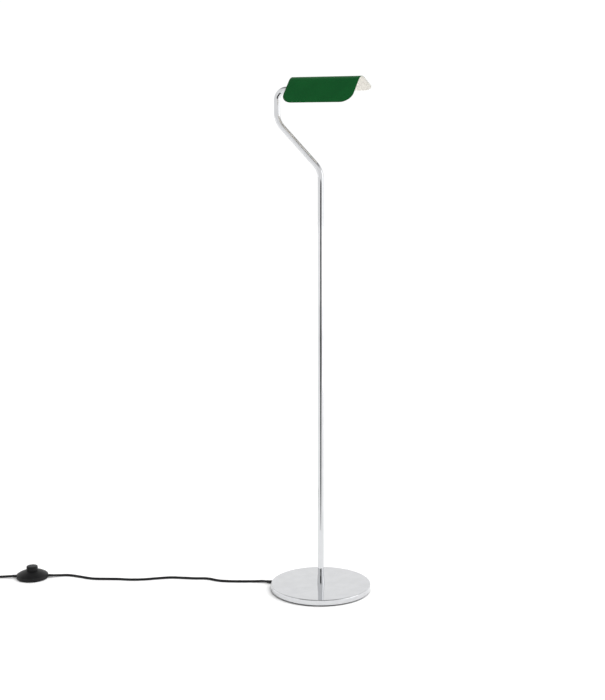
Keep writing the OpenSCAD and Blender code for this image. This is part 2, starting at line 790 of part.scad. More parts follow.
module switch_glands() {
    color([0.06, 0.06, 0.06]) in_switch() for (a = [0, 180]) rotate([0, 0, a])
        translate([switch_d / 2 - gland_seat_l, 0, switch_cord_z]) rotate([0, 90, 0])
            rotate_extrude() polygon([
                [cord_r + snug, 0], [gland_r, 0], [gland_r, gland_seat_l],
                [cord_r + gland_tip_t, gland_seat_l + gland_l], [cord_r + snug, gland_seat_l + gland_l]
            ]);
}

module switch_block() {
    color([0.85, 0.85, 0.8]) in_switch() translate([0, 0, floor_z])
        cylinder(r = block_r, h = plunger_z - button_travel - gap - floor_z);
}

module switch_terminals() {
    color([0.8, 0.65, 0.3]) in_switch() for (a = [0, 180]) rotate([0, 0, a])
        translate([terminal_r0, -terminal_w / 2, floor_z]) cube([terminal_l, terminal_w, terminal_h]);
}

module switch_screws() {
    color([0.7, 0.7, 0.7]) in_switch() for (y = [-screw_y, screw_y]) translate([0, y, 0]) {
        translate([0, 0, pad_t]) cylinder(r = screw_head_r, h = 1.1);
        translate([0, 0, pad_t]) cylinder(r = screw_r, h = screw_l);
    }
}

// The return spring, as its rings
module button_spring() {
    bottom = floor_z + spring_wire / 2;
    pitch = (button_z - button_wall - bottom - spring_wire / 2) / spring_turns;
    color([0.7, 0.7, 0.7]) in_switch() for (i = [0:spring_turns]) translate([0, 0, bottom + pitch * i])
        rotate_extrude() translate([spring_r, 0]) circle(d = spring_wire);
}

module switch_button() {
    r = button_d / 2;
    edge = 2.5;
    color([0.1, 0.1, 0.1]) in_switch() {
        difference() {
            union() {
                rotate_extrude() intersection() {
                    union() {
                        translate([0, button_z0]) square([r, button_z - edge - button_z0]);
                        translate([0, button_z0]) square([r - edge, button_z - button_z0]);
                        translate([r - edge, button_z - edge]) circle(r = edge);
                    }
                    square([r, button_z]);
                }
                translate([0, 0, button_flange_z]) cylinder(r = r + button_lip, h = button_flange_t);
            }
            translate([0, 0, button_z0 - eps])
                cylinder(r = r - button_wall, h = button_z - button_wall - button_z0 + eps);
        }
        translate([0, 0, plunger_z]) cylinder(r = 3, h = button_z - button_wall - plunger_z);
    }
}

// ---- Free cord ----

module cord_to_switch() {
    from = exit_point(relief_l + 2 * cord_d);
    gland = switch_point(-switch_d / 2 - gland_l, switch_cord_z);
    way = [gland[0] - from[0], gland[1] - from[1]];
    left = unit([-way[1], way[0]]);
    on_floor = [for (t = to_switch)
        [from[0] + t[0] * way[0] + t[1] * left[0], from[1] + t[0] * way[1] + t[1] * left[1], cord_r]];
    route = concat([exit_point(relief_l), from], on_floor,
        [gland, switch_point(-jacket_end_r, switch_cord_z)]);
    color([0.05, 0.05, 0.05]) swept_tube(smooth_route(route, rings_per_span), cord_r, cord_sides);
}

module cord_to_coil() {
    route = concat([for (x = [jacket_end_r, switch_d / 2 + gland_l]) switch_point(x, switch_cord_z)],
        to_coil, [coil_point(coil_d / 2 + cord_d, coil_in_turn, coil_lift + cord_r)]);
    color([0.05, 0.05, 0.05]) swept_tube(smooth_route(route, rings_per_span), cord_r, cord_sides);
}

module cord_to_plug() {
    route = concat([for (p = over_coil) coil_point(coil_d / 2 + p[0], p[1], coil_h + p[2])], to_plug,
        [plug_point(0), plug_point(plug_relief_l)]);
    color([0.05, 0.05, 0.05]) swept_tube(smooth_route(route, rings_per_span), cord_r, cord_sides);
}

// The coil's rounded section, grown by a margin
module coil_section(grow) {
    soft = cord_r + grow;
    w = coil_w + 2 * grow;
    h = coil_h + 2 * grow;
    translate([(coil_d - w) / 2, -grow]) {
        translate([soft, 0]) square([w - 2 * soft, h]);
        translate([0, soft]) square([w, h - 2 * soft]);
        for (x = [soft, w - soft]) for (y = [soft, h - soft]) translate([x, y]) circle(r = soft);
    }
}

module cord_coil() {
    color([0.05, 0.05, 0.05]) translate([coil_at[0], coil_at[1], coil_lift])
        rotate_extrude() coil_section(0);
}

// A hook-and-loop band round the bundle of turns
module coil_tie() {
    sweep = tie_w / (coil_d / 2) * 180 / PI;
    color([0.08, 0.08, 0.08]) translate([coil_at[0], coil_at[1], coil_lift])
        rotate([0, 0, tie_turn - sweep / 2]) rotate_extrude(angle = sweep) difference() {
            coil_section(tie_t);
            coil_section(0.02);
        }
}

// ---- Plug: the cord enters at its origin, and its pins point along +X ----

module plug_relief() {
    color([0.05, 0.05, 0.05]) at_plug() rotate([0, 90, 0]) rotate_extrude() polygon([
        [cord_r + snug, 0], [cord_r + 0.5, 0], [cord_r + 1.8, plug_relief_l], [cord_r + snug, plug_relief_l]
    ]);
}

module plug_body() {
    x0 = plug_relief_l;
    color([0.08, 0.08, 0.08]) at_plug() difference() {
        translate([0, 0, -plug_t / 2]) linear_extrude(plug_t) polygon([
            [x0, -6], [x0 + 10, -8], [x0 + plug_l - 10, -plug_w / 2], [x0 + plug_l, -plug_w / 2],
            [x0 + plug_l, plug_w / 2], [x0 + plug_l - 10, plug_w / 2], [x0 + 10, 8], [x0, 6]
        ]);
        for (y = [-plug_pitch / 2, plug_pitch / 2]) translate([x0 + plug_l - pin_seat_l, y, 0])
            rotate([0, 90, 0])
            cylinder(r = pin_core_r, h = pin_seat_l + eps);
    }
}

module plug_pins() {
    face = plug_relief_l + plug_l;
    color([0.8, 0.8, 0.8]) at_plug() for (y = [-plug_pitch / 2, plug_pitch / 2]) translate([0, y, 0])
        rotate([0, 90, 0]) {
        translate([0, 0, face - pin_seat_l]) cylinder(r = pin_core_r, h = pin_seat_l + pin_sleeve_l);
        translate([0, 0, face + pin_sleeve_l]) cylinder(r = plug_pin_d / 2, h = plug_pin_l - pin_sleeve_l);
    }
}

module pin_sleeves() {
    face = plug_relief_l + plug_l;
    color([0.08, 0.08, 0.08]) at_plug() for (y = [-plug_pitch / 2, plug_pitch / 2]) translate([0, y, 0])
        rotate([0, 90, 0]) ring(face, face + pin_sleeve_l, plug_pin_d / 2, pin_core_r);
}

base_disc();
rubber_feet();
base_collar();
stem_insert();
base_nipple();
base_washer();
base_nut();
pocket_cap();
cord_clamp();
clamp_screws();
base_cord();
core_wires();
base_relief();
stem();
pivot_spigot();
stop_pin();
friction_washer();
pivot_nut();
lampholder_cap();
lampholder_body();
lampholder_contacts();
bulb_cap();
bulb_insulator();
bulb_tip();
bulb_body();
bulb_globe();
led_board();
shade();
shade_bracket();
pivot_bush();
cord_to_switch();
switch_pad();
switch_base();
switch_dome();
switch_glands();
switch_block();
switch_terminals();
switch_screws();
button_spring();
switch_button();
cord_to_coil();
cord_coil();
coil_tie();
cord_to_plug();
plug_relief();
plug_body();
plug_pins();
pin_sleeves();
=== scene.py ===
"""Looks for a floor lamp: chromed bent tube and disc, folded green shade, foot switch on its cord."""

import json
import math

import bmesh
import bpy
from mathutils import Matrix, Vector


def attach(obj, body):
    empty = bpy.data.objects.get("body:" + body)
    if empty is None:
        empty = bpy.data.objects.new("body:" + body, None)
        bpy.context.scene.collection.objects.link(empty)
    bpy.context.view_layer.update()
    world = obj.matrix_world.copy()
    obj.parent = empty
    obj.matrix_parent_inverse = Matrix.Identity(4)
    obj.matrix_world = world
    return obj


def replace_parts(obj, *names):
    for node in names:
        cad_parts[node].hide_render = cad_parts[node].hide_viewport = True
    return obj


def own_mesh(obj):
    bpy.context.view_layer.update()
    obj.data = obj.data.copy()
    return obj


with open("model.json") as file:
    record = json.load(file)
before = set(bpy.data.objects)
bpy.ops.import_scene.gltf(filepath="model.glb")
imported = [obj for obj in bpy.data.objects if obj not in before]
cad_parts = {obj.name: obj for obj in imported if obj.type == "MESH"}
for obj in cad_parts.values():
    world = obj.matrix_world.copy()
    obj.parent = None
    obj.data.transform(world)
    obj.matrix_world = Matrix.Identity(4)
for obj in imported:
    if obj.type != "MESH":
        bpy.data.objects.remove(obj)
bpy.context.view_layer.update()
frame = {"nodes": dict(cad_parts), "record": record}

MM = 0.001


def mm(*values):
    """A place in millimetres, as metres."""
    return Vector(values) * MM


# ---- Camera: eye height 1.12 m, looking a little down ----

CAMERA_AT = (1.3019, -2.8390, 1.1231)
CAMERA_TURN = 24.634
CAMERA_DIP = 9.3205
SENSOR_W = 36
FOCAL_L = 66.615
SIDE_SHIFT = -0.02627
SIGHT_END = 60
camera_data = bpy.data.cameras.new("studio_camera")
camera_data.sensor_width = SENSOR_W
camera_data.lens = FOCAL_L
camera_data.shift_x = SIDE_SHIFT
camera_data.clip_end = SIGHT_END
camera = bpy.data.objects.new("studio_camera", camera_data)
camera.location = CAMERA_AT
camera.rotation_euler = (math.radians(90 - CAMERA_DIP), 0, math.radians(CAMERA_TURN))
bpy.context.scene.collection.objects.link(camera)
bpy.context.scene.camera = camera

# ---- Sizes, in millimetres, as in the CAD ----

BASE_R = 125
RELIEF_L = 20
CORD_D = 6
CORD_R = CORD_D / 2
CORD_TURN = 187
EXIT_Z = 5.2
CLAMP_R = 36
CLAMP_Z = 7.5
EXIT_SLOPE = math.atan((CLAMP_Z - EXIT_Z) / (BASE_R - CLAMP_R))
SWITCH_AT = (-713, -233.2)
SWITCH_TURN = 208
SWITCH_R = 40
SWITCH_CORD_Z = 5.5
GLAND_L = 12
JACKET_END_R = 27
COIL_AT = (-809, -338)
PLUG_AT = (-803, -406, 6.85)
PLUG_TURN = -52
PLUG_RELIEF_L = 28
AXIS_Z = 1236


def around(centre, radius, degrees, z):
    a = math.radians(degrees)
    return Vector((centre[0] + radius * math.cos(a), centre[1] + radius * math.sin(a), z))


def along_exit(x):
    """A place on the cord as it slopes out from under the base, x beyond the rim."""
    return around((0, 0), BASE_R + x * math.cos(EXIT_SLOPE), CORD_TURN, EXIT_Z - x * math.sin(EXIT_SLOPE))


def in_switch(x, z):
    return around(SWITCH_AT, x, SWITCH_TURN, z)


def in_plug(x):
    return around(PLUG_AT, x, PLUG_TURN, PLUG_AT[2])


def smooth_way(corners, steps):
    """A smooth line through the corners, with that many short stretches between each two."""
    line = []
    last = len(corners) - 1
    for i in range(last):
        a, b, c, d = (corners[min(max(j, 0), last)] for j in (i - 1, i, i + 1, i + 2))
        for k in range(steps):
            t = k / steps
            line.append(0.5 * (2 * b + (c - a) * t + (2 * a - 5 * b + 4 * c - d) * t ** 2
                               + (3 * b - a - 3 * c + d) * t ** 3))
    # Nothing dips below the floor
    return [Vector((p.x, p.y, max(p.z, CORD_R))) for p in line + [corners[-1]]]


# ---- Cords ----

# Share of the way from the base to the switch, and offset to the left
WANDER = [(0.038, -0.8), (0.093, 1.7), (0.15, 3.0), (0.205, 0.0), (0.263, -12.8), (0.323, -11.9),
          (0.384, -13.8), (0.441, -14.0), (0.499, -5.3), (0.559, 5.0), (0.621, 9.4), (0.682, 7.8),
          (0.743, 9.2), (0.804, 9.2), (0.863, -1.4), (0.918, -11.2), (0.963, -9.7)]


def way_to_switch():
    start = along_exit(RELIEF_L + 2 * CORD_D)
    gland = in_switch(-SWITCH_R - GLAND_L, SWITCH_CORD_Z)
    way = Vector((gland.x - start.x, gland.y - start.y, 0))
    left = Vector((-way.y, way.x, 0)).normalized()
    on_floor = [Vector((start.x, start.y, CORD_R)) + t * way + s * left for t, s in WANDER]
    return smooth_way([along_exit(RELIEF_L), start] + on_floor
                      + [gland, in_switch(-JACKET_END_R, SWITCH_CORD_Z)], 12)


# Places of the coil's turns in its bundle, radius and height, in the order in which they are wound
TURNS = [(41, 4), (35, 4), (29, 4), (32, 9.2), (38, 9.2), (41, 14.4), (35, 14.4), (29, 14.4)]
TURN_COUNT = 7.08
STEPS_A_TURN = 24
COIL_IN = 126
CROSSOVER_FROM = 0.62
CROSSOVER_LENGTH = 0.33
# Up from the inner turn and over the outer ones: radius, direction and height. Then down to the plug
OVER_TURNS = [(31, 176, 17.6), (37, 198, 20.4), (43, 216, 19.6)]
DOWN_TO_PLUG = [(-838, -373, 16), (-828, -385, 11.5), (-817, -395.5, 8.2)]
# On the floor between the switch and the coil
TO_COIL = [(-791, -270.7, CORD_R), (-813, -287.5, CORD_R)]


def coil_place(turn):
    """Radius and height of the winding after that many turns. It steps to its next place once a turn."""
    k = min(int(turn), len(TURNS) - 1)
    after = TURNS[min(k + 1, len(TURNS) - 1)]
    t = min(max((turn - int(turn) - CROSSOVER_FROM) / CROSSOVER_LENGTH, 0), 1)
    t = t * t * (3 - 2 * t)
    return tuple(a + (b - a) * t for a, b in zip(TURNS[k], after))


def way_to_plug():
    lead_in = [in_switch(JACKET_END_R, SWITCH_CORD_Z), in_switch(SWITCH_R + GLAND_L, SWITCH_CORD_Z)]
    lead_in += [Vector(p) for p in TO_COIL]
    wound = []
    for i in range(int(TURN_COUNT * STEPS_A_TURN) + 1):
        radius, z = coil_place(i / STEPS_A_TURN)
        wound.append(around(COIL_AT, radius, COIL_IN + 360 * i / STEPS_A_TURN, z))
    lead_out = [around(COIL_AT, *p) for p in OVER_TURNS] + [Vector(p) for p in DOWN_TO_PLUG]
    return smooth_way(lead_in + wound + lead_out + [in_plug(0), in_plug(PLUG_RELIEF_L)], 5)


def lay_cord(name, line):
    data = bpy.data.curves.new(name, "CURVE")
    data.dimensions = "3D"
    data.bevel_depth = CORD_R * MM
    data.bevel_resolution = 4
    data.use_fill_caps = True
    spline = data.splines.new("POLY")
    spline.points.add(len(line) - 1)
    for point, place in zip(spline.points, line):
        point.co = (*(place * MM), 1)
    spline.use_smooth = True
    cord = bpy.data.objects.new(name, data)
    bpy.context.scene.collection.objects.link(cord)
    return cord


to_switch_line = way_to_switch()
to_plug_line = way_to_plug()
cord_to_switch = lay_cord("lead_to_switch", to_switch_line)
cord_to_plug = lay_cord("lead_to_plug", to_plug_line)

# ---- Colours and nodes ----


def linear(hex_colour):
    """An sRGB hex colour as linear light."""
    parts = [int(hex_colour[i:i + 2], 16) / 255 for i in (1, 3, 5)]
    return tuple(c / 12.92 if c <= 0.04045 else ((c + 0.055) / 1.055) ** 2.4 for c in parts) + (1.0,)


def grain(size_mm):
    """The noise scale whose features are about that many millimetres across."""
    return 1 / (size_mm * MM)


def add(tree, kind, links=None, **settings):
    """Adds a node. Settings are its properties or its inputs' values, and links feed its inputs."""
    node = tree.nodes.new(kind)
    for key, value in settings.items():
        if hasattr(node, key):
            setattr(node, key, value)
        else:
            node.inputs[key.replace("_", " ")].default_value = value
    for key, socket in (links or {}).items():
        tree.links.new(socket, node.inputs[key])
    return node


def new_finish(name, **shader):
    """A material with one shader. Returns it, its node tree, its shader and the object's coordinates."""
    material = bpy.data.materials.new(name)
    material.use_nodes = True
    tree = material.node_tree
    tree.nodes.clear()
    principled = add(tree, "ShaderNodeBsdfPrincipled", **shader)
    add(tree, "ShaderNodeOutputMaterial", {"Surface": principled.outputs["BSDF"]})
    place = add(tree, "ShaderNodeTexCoord").outputs["Object"]
    return material, tree, principled, place


def noise(tree, place, size_mm, detail=2.0):
    pattern = add(tree, "ShaderNodeTexNoise", {"Vector": place}, Scale=grain(size_mm), Detail=detail)
    return pattern.outputs["Fac"]


# The values between which a noise pattern mostly stays
PATTERN_LOW = 0.35
PATTERN_HIGH = 0.65


def vary(tree, principled, socket, source, low, high):
    """Drives a shader input between two values by a pattern."""
    mapped = add(tree, "ShaderNodeMapRange", {"Value": source}, From_Min=PATTERN_LOW, From_Max=PATTERN_HIGH,
                 To_Min=low, To_Max=high)
    tree.links.new(mapped.outputs["Result"], principled.inputs[socket])


def tint(tree, principled, source, low, high):
    """Drives the colour between two sRGB colours by a pattern."""
    ramp = add(tree, "ShaderNodeValToRGB", {"Fac": source})
    for stop, position, colour in zip(ramp.color_ramp.elements, (PATTERN_LOW, PATTERN_HIGH), (low, high)):
        stop.position = position
        stop.color = linear(colour)
    tree.links.new(ramp.outputs["Color"], principled.inputs["Base Color"])


def relief(tree, principled, source, height_mm):
    bump = add(tree, "ShaderNodeBump", {"Height": source}, Strength=1.0, Distance=height_mm * MM)
    tree.links.new(bump.outputs["Normal"], principled.inputs["Normal"])


# ---- Finishes ----


def chrome_plated_steel():
    """Bright chrome plate on polished steel: a clear, faintly blue mirror with a slight polishing haze."""
    material, tree, shader, place = new_finish("chrome_plated_steel", Metallic=1.0)
    haze = noise(tree, place, 25, 3)
    tint(tree, shader, haze, "#cccdcf", "#d1d2d4")
    vary(tree, shader, "Roughness", haze, 0.035, 0.06)
    return material


def powder_coated_green():
    """Powder-coated sheet steel: a deep satin green skin with the fine orange peel of the melt."""
    material, tree, shader, place = new_finish("powder_coated_green", IOR=1.5, Specular_IOR_Level=0.1)
    # The real peel is about 1.5 mm across; it is drawn at 3 mm so that it shows
    peel = noise(tree, place, 3, 2)
    tint(tree, shader, noise(tree, place, 40), "#06491e", "#084d20")
    vary(tree, shader, "Roughness", peel, 0.42, 0.5)
    relief(tree, shader, peel, 0.01)
    return material


def powder_coated_cream():
    """The same powder coat in warm white, matt, so that the inside spreads the lamp's light."""
    material, tree, shader, place = new_finish("powder_coated_cream", IOR=1.5)
    peel = noise(tree, place, 3, 2)
    tint(tree, shader, noise(tree, place, 40), "#dad6cd", "#dedad2")
    vary(tree, shader, "Roughness", peel, 0.5, 0.6)
    relief(tree, shader, peel, 0.006)
    return material


def moulded_black_abs():
    """Moulded black ABS with a spark-eroded grain: a dark grey sheen that breaks up highlights."""
    material, tree, shader, place = new_finish("moulded_black_abs", IOR=1.54, Specular_IOR_Level=0.2)
    # The tool's grain is about 0.4 mm; it is drawn at 0.8 mm
    pits = noise(tree, place, 0.8, 2)
    tint(tree, shader, noise(tree, place, 12), "#0f0f10", "#131314")
    vary(tree, shader, "Roughness", pits, 0.4, 0.52)
    relief(tree, shader, pits, 0.03)
    return material


def extruded_pvc_jacket():
    """Extruded black PVC: smooth along its length and slightly waxy, with dull and bright stretches."""
    material, tree, shader, place = new_finish("extruded_pvc_jacket", IOR=1.53, Specular_IOR_Level=0.25)
    tint(tree, shader, noise(tree, place, 20), "#0d0d0e", "#131314")
    vary(tree, shader, "Roughness", noise(tree, place, 6), 0.42, 0.55)
    relief(tree, shader, noise(tree, place, 1.2), 0.01)
    return material


def moulded_black_rubber():
    """Moulded nitrile rubber: flat black, with a dusty bloom that greys it in patches."""
    material, tree, shader, place = new_finish("moulded_black_rubber", IOR=1.52)
    tint(tree, shader, noise(tree, place, 8, 4), "#171718", "#222223")
    vary(tree, shader, "Roughness", noise(tree, place, 3), 0.65, 0.8)
    relief(tree, shader, noise(tree, place, 0.8), 0.03)
    return material


def turned_brass():
    """Turned brass: warm yellow, with fine tool rings that spread its highlights."""
    material, tree, shader, place = new_finish("turned_brass", Metallic=1.0)
    tint(tree, shader, noise(tree, place, 6), "#c2a063", "#d2b176")
    vary(tree, shader, "Roughness", noise(tree, place, 1.5), 0.22, 0.36)
    relief(tree, shader, noise(tree, place, 0.7), 0.01)
    return material


def zinc_plated_steel():
    """Zinc-plated steel: pale blue-grey metal, with a soft crystalline mottle."""
    material, tree, shader, place = new_finish("zinc_plated_steel", Metallic=1.0)
    tint(tree, shader, noise(tree, place, 3), "#b4b7ba", "#c9cbcd")
    vary(tree, shader, "Roughness", noise(tree, place, 1.5), 0.25, 0.4)
    return material


def turned_nylon():
    """Turned nylon: milky off-white that lets a little light in below the surface."""
    material, tree, shader, place = new_finish("turned_nylon", IOR=1.53, Subsurface_Weight=0.15,
                                               Subsurface_Scale=0.002)
    tint(tree, shader, noise(tree, place, 6), "#e4e0d3", "#ebe8dd")
    vary(tree, shader, "Roughness", noise(tree, place, 2), 0.4, 0.5)
    return material


def moulded_white_pbt():
    """Moulded heat-resistant PBT: cool white, half matt, as lampholders and bulb bodies are."""
    material, tree, shader, place = new_finish("moulded_white_pbt", IOR=1.55)
    tint(tree, shader, noise(tree, place, 15), "#e6e5e1", "#ecebe8")
    vary(tree, shader, "Roughness", noise(tree, place, 1.5), 0.38, 0.48)
    relief(tree, shader, noise(tree, place, 1.0), 0.01)
    return material


def opal_polycarbonate():
    """Opal polycarbonate: a smooth milky diffuser that glows softly where light enters it."""
    material, tree, shader, place = new_finish("opal_polycarbonate", IOR=1.58, Subsurface_Weight=0.15,
                                               Subsurface_Scale=0.003)
    tint(tree, shader, noise(tree, place, 20), "#f0efea", "#f4f3ef")
    vary(tree, shader, "Roughness", noise(tree, place, 8), 0.18, 0.26)
    return material


def core_insulation_pvc():
    """Extruded PVC core insulation: plain brown, smooth and a little glossy."""
    material, tree, shader, place = new_finish("core_insulation_pvc", IOR=1.53)
    tint(tree, shader, noise(tree, place, 6), "#6a4632", "#75503a")
    vary(tree, shader, "Roughness", noise(tree, place, 3), 0.35, 0.45)
    return material


def woven_hook_tape():
    """Woven nylon hook-and-loop tape: dull charcoal with a nap of fine loops."""
    material, tree, shader, place = new_finish("woven_hook_tape", IOR=1.53, Sheen_Weight=0.3)
    # Loops are 0.5 mm apart; they are drawn at 0.9 mm
    loops = add(tree, "ShaderNodeTexVoronoi", {"Vector": place}, Scale=grain(0.9)).outputs["Distance"]
    tint(tree, shader, loops, "#1d1d1f", "#39393c")
    vary(tree, shader, "Roughness", loops, 0.75, 0.95)
    relief(tree, shader, loops, 0.25)
    return material


def black_lacquer_and_gap_shade():
    """Sprayed black lacquer on cast steel: dull and slightly rough, under the base. Its black is also
    painted shade that darkens the gap between the base and the floor.
    """
    material, tree, shader, place = new_finish("black_lacquer_and_gap_shade", IOR=1.5, Specular_IOR_Level=0.3)
    tint(tree, shader, noise(tree, place, 10, 3), "#131313", "#1b1b1b")
    vary(tree, shader, "Roughness", noise(tree, place, 2), 0.6, 0.75)
    relief(tree, shader, noise(tree, place, 1.5), 0.02)
    return material


FINISHES = {
    "chrome": chrome_plated_steel(), "green_coat": powder_coated_green(),
    "cream_coat": powder_coated_cream(),
    "black_rubber": moulded_black_rubber(), "black_plastic": moulded_black_abs(),
    "black_cord": extruded_pvc_jacket(), "brass": turned_brass(), "zinc_steel": zinc_plated_steel(),
    "nylon": turned_nylon(), "white_plastic": moulded_white_pbt(), "opal": opal_polycarbonate(),
    "core_insulation": core_insulation_pvc(), "hook_tape": woven_hook_tape(),
}

# ---- Meshes ----


def new_piece(name, verts, faces, slot, body="root", sharp=35):
    """A mesh piece in metres, smooth except along edges sharper than the given angle."""
    mesh = bpy.data.meshes.new(name)
    mesh.from_pydata([tuple(v) for v in verts], [], faces)
    solid = bmesh.new()
    solid.from_mesh(mesh)
    bmesh.ops.remove_doubles(solid, verts=solid.verts, dist=1e-7)
    bmesh.ops.recalc_face_normals(solid, faces=solid.faces)
    solid.to_mesh(mesh)
    solid.free()
    mesh.shade_smooth()
    mesh.set_sharp_from_angle(angle=math.radians(sharp))
    piece = bpy.data.objects.new(name, mesh)
    bpy.context.scene.collection.objects.link(piece)
    mesh.materials.append(FINISHES[slot])
    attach(piece, body)
    return piece


def lathe(profile, steps=96, closed=True):
    """Turns a line of (radius, height) about Z. Returns its corners and faces, in millimetres."""
    verts, faces = [], []
    for i in range(steps):
        a = 2 * math.pi * i / steps
        verts += [Vector((r * math.cos(a), r * math.sin(a), z)) for r, z in profile]
    n = len(profile)
    for i in range(steps):
        j = (i + 1) % steps
        for k in range(n if closed else n - 1):
            m = (k + 1) % n
            loop = [i * n + k, j * n + k, j * n + m, i * n + m]
            if profile[k][0] == 0:
                loop = [i * n + k, j * n + m, i * n + m]
            elif profile[m][0] == 0:
                loop = [i * n + k, j * n + k, i * n + m]
            if profile[k][0] or profile[m][0]:
                faces.append(loop)
    return verts, faces


def arc(centre_r, centre_z, radius, start, end, steps=6):
    """Points of a rounded edge in a turned section, from one angle to another."""
    return [(centre_r + radius * math.cos(math.radians(start + (end - start) * i / steps)),
             centre_z + radius * math.sin(math.radians(start + (end - start) * i / steps)))
            for i in range(steps + 1)]


def placed(verts, matrix):
    return [(matrix @ v) * MM for v in verts]


def swept(line, radius, across, sides=48):
    """A round bar along a plane line, in millimetres. Across is the direction square to its plane."""
    verts, faces = [], []
    for i, p in enumerate(line):
        ahead = (line[min(i + 1, len(line) - 1)] - line[max(i - 1, 0)]).normalized()
        out = ahead.cross(across).normalized()
        verts += [p + radius * (math.cos(2 * math.pi * k / sides) * out
                                + math.sin(2 * math.pi * k / sides) * across) for k in range(sides)]
    for i in range(len(line) - 1):
        for k in range(sides):
            m = (k + 1) % sides
            faces.append([i * sides + k, i * sides + m, (i + 1) * sides + m, (i + 1) * sides + k])
    faces.append(list(range(sides)))
    faces.append([(len(line) - 1) * sides + k for k in reversed(range(sides))])
    return verts, faces


# ---- Stem ----

STEM_R = 7.5
STEM_CORNERS = [(0, 16.5), (0, 1045.5), (-116, 1161.5), (-116, AXIS_Z), (-48, AXIS_Z)]
STEM_BENDS = [50, 50, 25]


def bent_line(corners, bends, step=2.0):
    """The line through the corners in X and Z, with each inner corner bent to its radius."""
    line = [Vector((corners[0][0], 0, corners[0][1]))]
    for i, bend in enumerate(bends, start=1):
        before, here, after = (Vector((c[0], 0, c[1])) for c in corners[i - 1:i + 2])
        into, out = (here - before).normalized(), (after - here).normalized()
        turn = into.angle(out)
        trim = bend * math.tan(turn / 2)
        side = (out - into * into.dot(out)).normalized()
        steps = max(int(math.degrees(turn) / step), 2)
        for k in range(steps + 1):
            a = turn * k / steps
            line.append(here - into * trim + into * bend * math.sin(a) + side * bend * (1 - math.cos(a)))
    return line + [Vector((corners[-1][0], 0, corners[-1][1]))]


def with_stations(line, longest=120):
    """Splits long straight stretches, so that shading along them stays even."""
    full = [line[0]]
    for p, q in zip(line, line[1:]):
        parts = max(math.ceil((q - p).length / longest), 1)
        full += [p + (q - p) * k / parts for k in range(1, parts + 1)]
    return full


stem_line = with_stations(bent_line(STEM_CORNERS, STEM_BENDS))
stem_verts, stem_faces = swept(stem_line, STEM_R, Vector((0, 1, 0)))
stem = new_piece("bent_stem", [v * MM for v in stem_verts], stem_faces, "chrome")
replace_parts(stem, "stem")

# ---- Base disc: chromed on top and round its rim, black underneath ----

# The underside is at 3.5. Anything else this far in from the rim and below the top is a pocket, bore or
# channel under the disc, and is lacquered too
UNDERSIDE_LIMIT_Z = 3.6
WITHIN_R = 120
BELOW_TOP_Z = 15.5


def out_of_sight(face):
    inside = face.center.xy.length < WITHIN_R * MM and face.center.z < BELOW_TOP_Z * MM
    return face.normal.z < -0.5 or face.center.z < UNDERSIDE_LIMIT_Z * MM or inside


def weighted_disc():
    """The base node's own mesh, with black lacquer where the chrome ends. The black is also painted shade
    for the gap under the base.
    """
    node = frame["nodes"]["base_disc"]
    mesh = node.data.copy()
    mesh.name = "weighted_disc"
    mesh.materials.clear()
    mesh.materials.append(FINISHES["chrome"])
    mesh.materials.append(black_lacquer_and_gap_shade())
    # Faces under the disc turn black: real lacquer, and also painted shade that darkens the gap under the
    # base
    for face in mesh.polygons:
        if out_of_sight(face):
            face.material_index = 1
    piece = bpy.data.objects.new("weighted_disc", mesh)
    bpy.context.scene.collection.objects.link(piece)
    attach(piece, "root")
    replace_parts(piece, "base_disc")


weighted_disc()

# ---- Shade ----

SHEET_T = 1.2
FOLD_R = 29
PANEL_L = 71
SHADE_L = 180
SHADE_X = 16
CORNER_R = 28
HALF_TURN = 35
REST_TILT = 12
FOLD_STEPS = 8
FLAT_STEPS = 6
CORNER_STEPS = 12


def shade_stations():
    """Down one panel: distance from the ridge along the outer face, and how far its end is cut back."""
    fold = FOLD_R * math.radians(HALF_TURN)
    rows = [(fold * i / FOLD_STEPS, 0.0) for i in range(FOLD_STEPS)]
    flat = PANEL_L - CORNER_R
    rows += [(fold + flat * i / FLAT_STEPS, 0.0) for i in range(FLAT_STEPS)]
    for i in range(CORNER_STEPS + 1):
        a = math.radians(90 * i / CORNER_STEPS)
        rows.append((fold + flat + CORNER_R * math.sin(a), CORNER_R * (1 - math.cos(a))))
    return rows


def shade_point(s, depth, side):
    """A place across the folded sheet, that far below its outer face, in the shade's own Y and Z."""
    fold = FOLD_R * math.radians(HALF_TURN)
    a = math.radians(90) - min(s, fold) / FOLD_R
    y, z = (FOLD_R - depth) * math.cos(a), (FOLD_R - depth) * math.sin(a)
    if s > fold:
        y += (s - fold) * math.cos(math.radians(-HALF_TURN))
        z += (s - fold) * math.sin(math.radians(-HALF_TURN))
    t = math.radians(REST_TILT)
    y *= side
    return y * math.cos(t) - z * math.sin(t), y * math.sin(t) + z * math.cos(t) + AXIS_Z


COLUMNS = 28
SOFT_EDGE = 0.3


